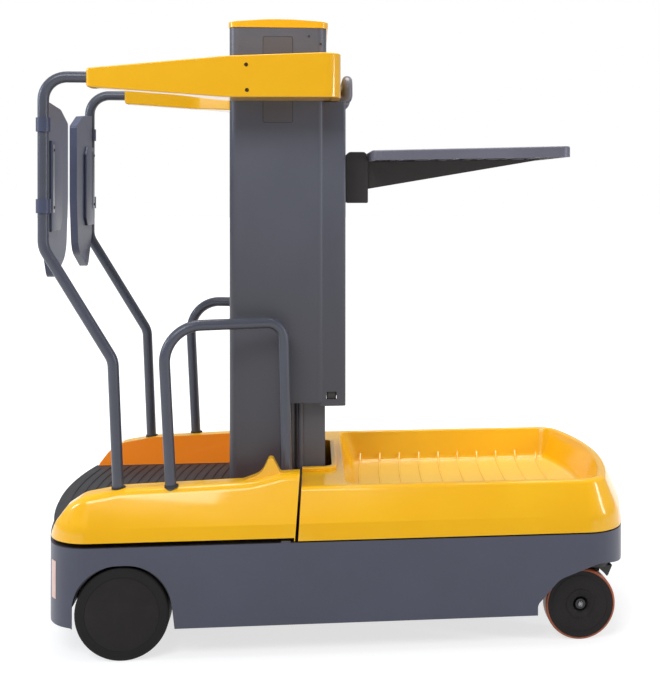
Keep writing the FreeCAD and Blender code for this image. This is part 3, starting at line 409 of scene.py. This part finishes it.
def dress(node, material, edge):
    """Let a finished copy of a solid stand for it."""
    piece = finish_piece(
        node + "_skin", merged_copy(node), BODY_OF[node], material, edge)
    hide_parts(node)


# %% [markdown]
# ## Dress the solids
# One table names the finish of every solid, another the rounding of its edges
# where it isn't the usual one. Tubes are round and the caster centres are kept
# crisp, so they get none. The yellow covers have most of their real roundings.

# %% Finishes
FINISHES = {
    SLATE_COAT: ("skirt",),
    GREY_COAT: ("mast_outer", "mast_middle", "mast_inner", "lift_cylinders", "carriage_frame",
                "tray_rail"),
    COLUMN_COAT_WITH_PAINTED_SHADE: ("column_housing",),
    TUBE_COAT: ("guard_hoops", "handrails"),
    HANDLE_COAT: ("rear_handle",),
    BLACK_COAT: ("chassis_plate", "battery_block", "drive_units", "caster_mounts", "caster_fork_left",
                 "caster_fork_right", "platform_plate", "arch_liners"),
    YELLOW_SHELL: ("column_cap", "arm_cover"),
    DECK_SHELL_WITH_PAINTED_SHEEN: ("deck_cover",),
    COVER_SHELL_WITH_PAINTED_GLOW: ("operator_covers",),
    BRIGHT_STEEL: ("lift_rams",),
    TYRE_RUBBER: ("drive_tyre_left", "drive_tyre_right"),
    ORANGE_TREAD: ("caster_tread_left", "caster_tread_right"),
    BLACK_PLASTIC: ("drive_hub_left", "drive_hub_right", "caster_hub_left", "caster_hub_right"),
    BLACK_RUBBER: ("operator_mat",),
    GREY_PANEL: ("gate_left", "gate_right"),
    DARK_PLASTIC: ("tray_gusset", "tray_bracket"),
    SLATE_PANEL: ("load_tray",),
}
USUAL_EDGE = 0.0012
EDGE = {"deck_cover": 0.001, "operator_covers": 0.001, "arm_cover": 0.003}
for plain in ("guard_hoops", "handrails", "rear_handle", "caster_hub_left", "caster_hub_right"):
    EDGE[plain] = 0.0
for finish, members in FINISHES.items():
    for node in members:
        dress(node, finish, EDGE.get(node, USUAL_EDGE))
print("dressed", sum(len(members) for members in FINISHES.values()), "solids of", len(NODES))

# %% [markdown]
# ## Tools for small parts
# The small parts start from a cube, a grid or a cone and get bevels, spins and
# mirrors. Sizes below are in millimetres, so each helper turns them to metres.

# %% Helpers for small parts
MM = 0.001


def block(low, high):
    """A box between two corners."""
    bm = bmesh.new()
    bmesh.ops.create_cube(bm, size=1.0)
    size = (Vector(high) - Vector(low)) * MM
    bmesh.ops.scale(bm, vec=size, verts=bm.verts)
    bmesh.ops.translate(bm, vec=(Vector(high) + Vector(low)) * MM / 2, verts=bm.verts)
    return bm


def bevelled(bm, edges, radius, segments=3):
    """Round some edges of a part."""
    bmesh.ops.bevel(bm, geom=edges, offset=radius * MM, offset_type="OFFSET", segments=segments,
                    profile=0.5, affect="EDGES", material=-1, clamp_overlap=True)
    return bm


def reach(edge, axis):
    """How far an edge runs along x, y or z, in millimetres."""
    return abs(edge.verts[0].co[axis] - edge.verts[1].co[axis]) / MM


def rounded(bm, radius, axis=None):
    """Round all edges of a box, or those that run along one axis."""
    edges = [edge for edge in bm.edges if axis is None or reach(edge, axis) > 0.001]
    return bevelled(bm, edges, radius)


def everything(bm):
    """All vertices, edges and faces of a bmesh."""
    return bm.verts[:] + bm.edges[:] + bm.faces[:]


def both_sides(bm):
    """Add the mirror image across the truck's middle plane."""
    bmesh.ops.mirror(bm, geom=everything(bm), axis="Y", merge_dist=0.00001)
    bmesh.ops.recalc_face_normals(bm, faces=bm.faces)
    return bm


def gathered(parts):
    """One bmesh from many."""
    whole = bmesh.new()
    for part in parts:
        spare = bpy.data.meshes.new("spare")
        part.to_mesh(spare)
        part.free()
        whole.from_mesh(spare)
        bpy.data.meshes.remove(spare)
    return whole


def aimed(bm, at, along):
    """Turn a part from +Z to a direction and put it in place."""
    turn = Vector((0, 0, 1)).rotation_difference(Vector(along)).to_matrix().to_4x4()
    bmesh.ops.transform(bm, matrix=Matrix.Translation(Vector(at) * MM) @ turn, verts=bm.verts)
    return bm


def screw(at, along, radius, rise):
    """A button head with a socket: a short cone with a rounded rim and a dented top."""
    bm = bmesh.new()
    made = bmesh.ops.create_cone(bm, cap_ends=True, segments=24, radius1=radius * MM,
                                 radius2=radius * MM, depth=rise * MM)
    bmesh.ops.translate(bm, vec=(0, 0, rise * MM / 2), verts=made["verts"])
    top = [face for face in bm.faces if face.normal.z > 0.9]
    bevelled(bm, list(top[0].edges), rise * 0.45)
    top = [face for face in bm.faces if face.normal.z > 0.99]
    bmesh.ops.inset_region(bm, faces=top, thickness=radius * 0.25 * MM, depth=0.0)
    bmesh.ops.translate(bm, vec=(0, 0, -rise * 0.6 * MM), verts=top[0].verts)
    return aimed(bm, at, along)


def upright_strip(inner, outer, low, high):
    """A rectangle in the x-z plane, ready to be spun about the z axis."""
    bm = bmesh.new()
    bmesh.ops.create_grid(bm, x_segments=1, y_segments=1, size=0.5)
    bmesh.ops.scale(bm, vec=((outer - inner) * MM, (high - low) * MM, 1), verts=bm.verts)
    bmesh.ops.rotate(bm, matrix=Matrix.Rotation(math.radians(90), 3, "X"), verts=bm.verts)
    middle = ((inner + outer) / 2 * MM, 0, (low + high) / 2 * MM)
    bmesh.ops.translate(bm, vec=middle, verts=bm.verts)
    return bm


def ring(at, along, inner, outer, height):
    """A collar: a small section spun right round."""
    bm = upright_strip(inner, outer, 0, height)
    bmesh.ops.spin(bm, geom=everything(bm), cent=(0, 0, 0), axis=(0, 0, 1),
                   angle=math.radians(360), steps=40, use_merge=True)
    bmesh.ops.recalc_face_normals(bm, faces=bm.faces)
    return aimed(bm, at, along)


# %% [markdown]
# ## Ribs of the load deck
# The floor of the tub is stiffened by ten low ribs across it, bowed a little
# toward the driver, whose ends climb the side walls. Each rib is a long box,
# cut into short pieces along its length so that it can bend.

# %% Deck ribs
CLIMB_FROM = 0.86


def rib(x, top, half, width, rise, bow, climb=0.0):
    """A low bowed bar across the truck; its last few centimetres may climb."""
    bm = block((-width / 2, -half, -1), (width / 2, half, rise))
    crest = [e for e in bm.edges if all(v.co.z > 0 for v in e.verts) and reach(e, 1) > 1]
    bevelled(bm, crest, rise * 0.6, segments=2)
    long_edges = [e for e in bm.edges if reach(e, 1) > half]
    bmesh.ops.subdivide_edges(bm, edges=long_edges, cuts=28, use_grid_fill=True)
    for vert in bm.verts:
        share = abs(vert.co.y) / (half * MM)
        lift = max(0.0, share - CLIMB_FROM) / (1 - CLIMB_FROM)
        vert.co.x += (x + bow * share ** 2) * MM
        vert.co.z += (top + climb * lift ** 2) * MM
    return bm


DECK_FLOOR = 322.0
DECK_FIRST, DECK_STEP, DECK_COUNT = 52.0, 60.0, 10
DECK_HALF, LAST_HALF = 290.0, 262.0
parts = []
for index in range(DECK_COUNT):
    half = LAST_HALF if index == DECK_COUNT - 1 else DECK_HALF
    x = DECK_FIRST + index * DECK_STEP
    parts.append(rib(x, DECK_FLOOR, half, width=6.0, rise=2.6, bow=13.0, climb=22.0))
finish_piece("deck_floor_ribs", gathered(parts), "chassis", DECK_SHELL_WITH_PAINTED_SHEEN)
print("deck ribs:", DECK_COUNT)

# %% [markdown]
# ## Ribs of the driver's mat
# The mat has cross ribs that follow the curve of the nose, about 26 mm apart,
# so that shoes grip it. They are the same bar again with a larger bow. The
# first two are shorter, as the nose is round.

# %% Mat ribs
MAT_TOP, NOSE_RADIUS = 330.0, 1252.0
MAT_FIRST, MAT_STEP, MAT_COUNT = -733.0, 25.5, 17
MAT_HALVES = {0: 236.0, 1: 252.0}
parts = []
for index in range(MAT_COUNT):
    half = MAT_HALVES.get(index, 262.0)
    bow = half ** 2 / (2 * NOSE_RADIUS)
    parts.append(rib(MAT_FIRST + index * MAT_STEP, MAT_TOP, half, width=15.0, rise=2.2, bow=bow))
finish_piece("mat_ribs", gathered(parts), "carriage", BLACK_RUBBER)
print("mat ribs:", MAT_COUNT)

# %% [markdown]
# ## Hatch and screws of the column
# Each side of the column has a tall service hatch whose outline shows above
# and below the arm cover, and two small screws beside it. The hatch is a thin
# plate over a dark seal that is a little larger, which draws the outline.

# %% Column hatch
HATCH_LOW, HATCH_HIGH = (-212.0, -200.4, 1334.0), (-133.0, -199.0, 1562.0)
SEAL = 1.6
SIDE = (0, -1, 0)
COLUMN_FACE = -200.0
seal = rounded(block(HATCH_LOW, HATCH_HIGH), 5.0, axis=1)
finish_piece("hatch_seals", both_sides(seal), "carriage", DARK_PLASTIC)
low = (HATCH_LOW[0] + SEAL, COLUMN_FACE - 1.2, HATCH_LOW[2] + SEAL)
high = (HATCH_HIGH[0] - SEAL, HATCH_HIGH[1], HATCH_HIGH[2] - SEAL)
plate = rounded(block(low, high), 4.0, axis=1)
finish_piece("hatch_plates", both_sides(plate), "carriage", GREY_COAT, edge=0.0004)
heads = [screw((x, COLUMN_FACE, z), SIDE, 3.0, 1.6) for x, z in ((-91, 1563), (-60, 1543))]
finish_piece("column_screws", both_sides(gathered(heads)), "carriage", DARK_PLASTIC)

# %% [markdown]
# ## Screws of the arm cover
# Two screws hold each side of the yoke, sunk in holes. Their almost flush heads are painted the dark
# brown of the shaded holes.

# %% Arm cover screws
ARM_FACE = -334.0
SUNK = 0.4
places = ((-248, 1473), (-246, 1409))
heads = [screw((x, ARM_FACE + SUNK, z), SIDE, 5.0, 1.0) for x, z in places]
finish_piece("arm_screws", both_sides(gathered(heads)), "carriage", SCREW_HOLE_SHADE)

# %% [markdown]
# ## Gate fittings
# On its driver side each gate has a raised cover over the hinge and a light
# metal strap with its screws. The cover is a low box with two cut corners and
# rounded edges; the strap is a narrow bar along the hinge line. The left gate
# has the same parts turned over.

# %% Gate fittings
GATE_FACE = -740.0
COVER_FACE, STRAP_FACE = GATE_FACE + 7, GATE_FACE + 9
STRAP_MIDDLE = -273.0
for body, turned_over in (("gate_right", False), ("gate_left", True)):
    cover = block((GATE_FACE - 1, -288, 1052), (COVER_FACE, -164, 1282))
    corners = [e for e in cover.edges if reach(e, 0) > 1 and e.verts[0].co.y > -0.2]
    rounded(bevelled(cover, corners, 24.0, segments=1), 2.5)
    strap = rounded(block((COVER_FACE - 1, -280, 1100), (STRAP_FACE, -266, 1272)), 1.0)
    heads = gathered([screw((STRAP_FACE, STRAP_MIDDLE, z), (1, 0, 0), 4.0, 1.8) for z in (1113, 1258)])
    for name, part, slot, finish in (("hinge_cover", cover, "grey_plastic", GREY_PANEL),
                                     ("strap", strap, "bright_steel", ZINC),
                                     ("screws", heads, "dark_plastic", DARK_PLASTIC)):
        if turned_over:
            bmesh.ops.scale(part, vec=(1, -1, 1), verts=part.verts)
            bmesh.ops.reverse_faces(part, faces=part.faces)
        finish_piece(body + "_" + name, part, body, finish)
print("gate fittings on both gates")

# %% [markdown]
# ## Painted shadow at the feet of the tubes
# Where hoops and handrails enter the covers, there is a dark line of shadow. A ring of black rubber
# round each tube paints that shadow in. A ray cast straight down on both sides of a tube finds the
# cover's height there.

# %% Painted shadow rings round the tube feet
COVERS = BVHTree.FromBMesh(merged_copy("operator_covers"))
ABOVE_COVERS = 0.6
TUBE = 14.0
BESIDE = TUBE + 3


def cover_height(x, y):
    """Height of the operator cover below a place, in millimetres."""
    point = COVERS.ray_cast(Vector((x * MM, y * MM, ABOVE_COVERS)), Vector((0, 0, -1)))[0]
    return 0.0 if point is None else point.z / MM


feet = []
for x, y in ((-566, -308), (-434, -322), (-147, -253)):
    top = max(cover_height(x, y - BESIDE), cover_height(x, y + BESIDE))
    print("tube foot at", x, y, "cover height", round(top, 1))
    feet.append(ring((x, y, top - 3.0), (0, 0, 1), TUBE + 0.1, TUBE + 3.5, 6.0))
finish_piece("tube_foot_shadow_rings", both_sides(gathered(feet)), "carriage", BLACK_RUBBER)

# %% [markdown]
# ## Reflectors on the nose
# Each nose corner carries a narrow blank reflector. A thin upright section is
# spun through a few degrees about the centre of the corner's own curve.

# %% Nose reflectors
CORNER_CENTRE, CORNER_RADIUS = (-627.6, -270.0, 0.0), 110.0
FILM_START, FILM_SWEEP = math.radians(206), math.radians(13)
film = upright_strip(CORNER_RADIUS - 0.5, CORNER_RADIUS + 0.6, 147, 240)
bmesh.ops.rotate(film, matrix=Matrix.Rotation(FILM_START, 3, "Z"), verts=film.verts)
bmesh.ops.spin(film, geom=everything(film), cent=(0, 0, 0), axis=(0, 0, 1),
               angle=FILM_SWEEP, steps=6)
bmesh.ops.translate(film, vec=Vector(CORNER_CENTRE) * MM, verts=film.verts)
finish_piece("nose_reflectors", both_sides(film), "chassis", REFLECTOR)

# %% [markdown]
# ## Small parts of chassis and column
# The dark gap between skirt and platform holds a light tab, made here as a rest pad. The window at the
# foot of the track box is dark with shade, where our solids let daylight through. What fills it can't be
# seen, so a dark block inside the box paints that shade in. What fills it can't be seen, so the stop
# inside the box is a guess.

# %% Shade blocks in the track box, and rest pads
stop = rounded(block((-44, -188, 598), (-19, -120, 630)), 2.0)
finish_piece("track_window_shade_blocks", both_sides(stop), "carriage", DARK_PLASTIC)
pad = rounded(block((-160, -377, 270), (-136, -364, 283.5)), 1.0)
finish_piece("rest_pads", both_sides(pad), "chassis", GREY_COAT)

# %% [markdown]
# ## Shade plates in the wheel arches
# There is only shade between the drive tyre and its arch, no daylight. What blocks it can't be seen. A
# black upright plate behind each wheel, a guess, paints that shade in.

# %% Shade plates in the wheel arches
plate = rounded(block((-672, -297, 131), (-560, -293, 236)), 1.5)
finish_piece("arch_shade_plates", both_sides(plate), "chassis", BLACK_COAT)

# %% [markdown]
# ## Caster centres
# A caster wheel turns on a bolt. Its moulded centre has two shallow raised
# rings, and the zinc bolt head is the one bright spot.

# %% Caster centres
for side, body in ((-1, "caster_wheel_right"), (1, "caster_wheel_left")):
    outward = (0, side, 0)
    face = (605, side * 349, 91)
    rings = [ring(face, outward, inner, outer, 0.8) for inner, outer in ((70, 74), (34, 37))]
    finish_piece(body + "_rings", gathered(rings), body, BLACK_PLASTIC)
    bolt = screw((605, side * 346.5, 91), outward, 7.0, 3.5)
    finish_piece(body + "_bolt", bolt, body, ZINC)

# %% [markdown]
# ## Floor and light
# A pale floor catches the contact shadow. It gives off some white of its own for
# the camera and for reflections, more toward the horizon, where it has to merge
# with the white background.

# %% Floor
GLOW_FROM, GLOW_TO = 0.9, 3.2
GLOW_NEAR, GLOW_FAR = 0.7, 1.0


def either(tree, one, other):
    """The larger of two values."""
    node = add(tree, "ShaderNodeMath", {"operation": "MAXIMUM"}, {0: one, 1: other})
    return node.outputs["Value"]


bm = bmesh.new()
bmesh.ops.create_grid(bm, x_segments=1, y_segments=1, size=40.0)
floor_mesh = bpy.data.meshes.new("floor")
bm.to_mesh(floor_mesh)
bm.free()
floor = bpy.data.objects.new("floor", floor_mesh)
bpy.context.scene.collection.objects.link(floor)
floor_paint, tree, shader = new_material("white floor", {
    "Base Color": linear("A2A2A2"), "Roughness": 0.9, "Specular IOR Level": 0.1,
    "Emission Color": (1, 1, 1, 1),
})
rays = add(tree, "ShaderNodeLightPath").outputs
seen = either(tree, rays["Is Camera Ray"], rays["Is Glossy Ray"])
place = add(tree, "ShaderNodeTexCoord").outputs["Object"]
distance = add(tree, "ShaderNodeVectorMath", {"operation": "LENGTH"}, {0: place})
white = add(tree, "ShaderNodeMapRange", {
    "interpolation_type": "SMOOTHSTEP", "From Min": GLOW_FROM, "From Max": GLOW_TO,
    "To Min": GLOW_NEAR, "To Max": GLOW_FAR,
}, {"Value": distance.outputs["Value"]})
tree.links.new(product(tree, seen, white.outputs["Result"]), shader.inputs["Emission Strength"])
floor.data.materials.append(floor_paint)

# %% [markdown]
# ## The room around
# The camera sees pure white. For light and reflections the room is darker on
# the camera's side than behind the truck, so the sides keep their own colour.

# %% World
DARK_SIDE, BRIGHT_SIDE = 0.38, 0.9
GLOSSY_SHARE = 0.5
world = bpy.data.worlds.new("studio")
bpy.context.scene.world = world
world.use_nodes = True
tree = world.node_tree
back = tree.nodes["Background"]
rays = add(tree, "ShaderNodeLightPath").outputs
seen = either(tree, rays["Is Camera Ray"], rays["Is Transmission Ray"])
direction = add(tree, "ShaderNodeTexCoord").outputs["Generated"]
split = add(tree, "ShaderNodeSeparateXYZ", {}, {"Vector": direction})
room = add(tree, "ShaderNodeMapRange", {
    "From Min": -1.0, "From Max": 0.6, "To Min": DARK_SIDE, "To Max": BRIGHT_SIDE,
}, {"Value": split.outputs["Y"]})
dim = add(tree, "ShaderNodeMapRange", {"To Min": 1.0, "To Max": GLOSSY_SHARE},
          {"Value": rays["Is Glossy Ray"]})
level = product(tree, room.outputs["Result"], dim.outputs["Result"])
back.inputs["Color"].default_value = (1, 1, 1, 1)
tree.links.new(either(tree, seen, level), back.inputs["Strength"])

# %% [markdown]
# ## Lamps
# A broad lamp high on the camera's side gives the main light and a second one
# overhead lights the deck. Two narrow ones, left and right, draw the bright
# streaks on rounded corners.

# %% Lamps
def lamp(name, place, target, size, power, tint="FFFFFF"):
    """A rectangular soft lamp aimed at a point."""
    light = bpy.data.lights.new(name, "AREA")
    light.shape = "RECTANGLE"
    light.size, light.size_y = size
    light.energy = power
    light.color = linear(tint)[:3]
    holder = bpy.data.objects.new(name, light)
    holder.location = place
    holder.rotation_euler = (Vector(target) - Vector(place)).to_track_quat("-Z", "Y").to_euler()
    bpy.context.scene.collection.objects.link(holder)


lamp("key lamp", (-1.6, -3.4, 3.9), (0.0, 0.0, 0.8), (2.4, 1.6), 104)
lamp("left lamp", (-3.4, -0.5, 2.1), (-0.4, 0.0, 0.8), (0.35, 0.8), 36, "DCEAFF")
lamp("right lamp", (3.4, -1.5, 1.6), (0.2, 0.0, 0.8), (0.35, 1.6), 32, "F2F4FF")
lamp("top lamp", (0.2, 0.6, 4.2), (0.0, 0.0, 0.3), (2.4, 1.6), 88)

# %% [markdown]
# ## Camera
# The picture was taken level with the guard rail, with the frame shifted down,
# which keeps the upright edges parallel.

# %% Camera
camera_data = bpy.data.cameras.new("camera")
camera = bpy.data.objects.new("camera", camera_data)
bpy.context.scene.collection.objects.link(camera)
bpy.context.scene.camera = camera
IMAGE = (660, 678)
FOCAL_PX = 1171.56
CENTRE_PX = (428.5, 185.5)
camera_data.sensor_width = 36.0
camera_data.lens = 36.0 * FOCAL_PX / max(IMAGE)
camera_data.shift_x = (IMAGE[0] / 2 - CENTRE_PX[0]) / max(IMAGE)
camera_data.shift_y = (CENTRE_PX[1] - IMAGE[1] / 2) / max(IMAGE)
camera.location = (-0.0836, -3.3113, 1.1687)
camera.rotation_euler = (math.radians(90), 0, math.radians(-5.689))
bpy.context.scene.view_settings.view_transform = "Standard"
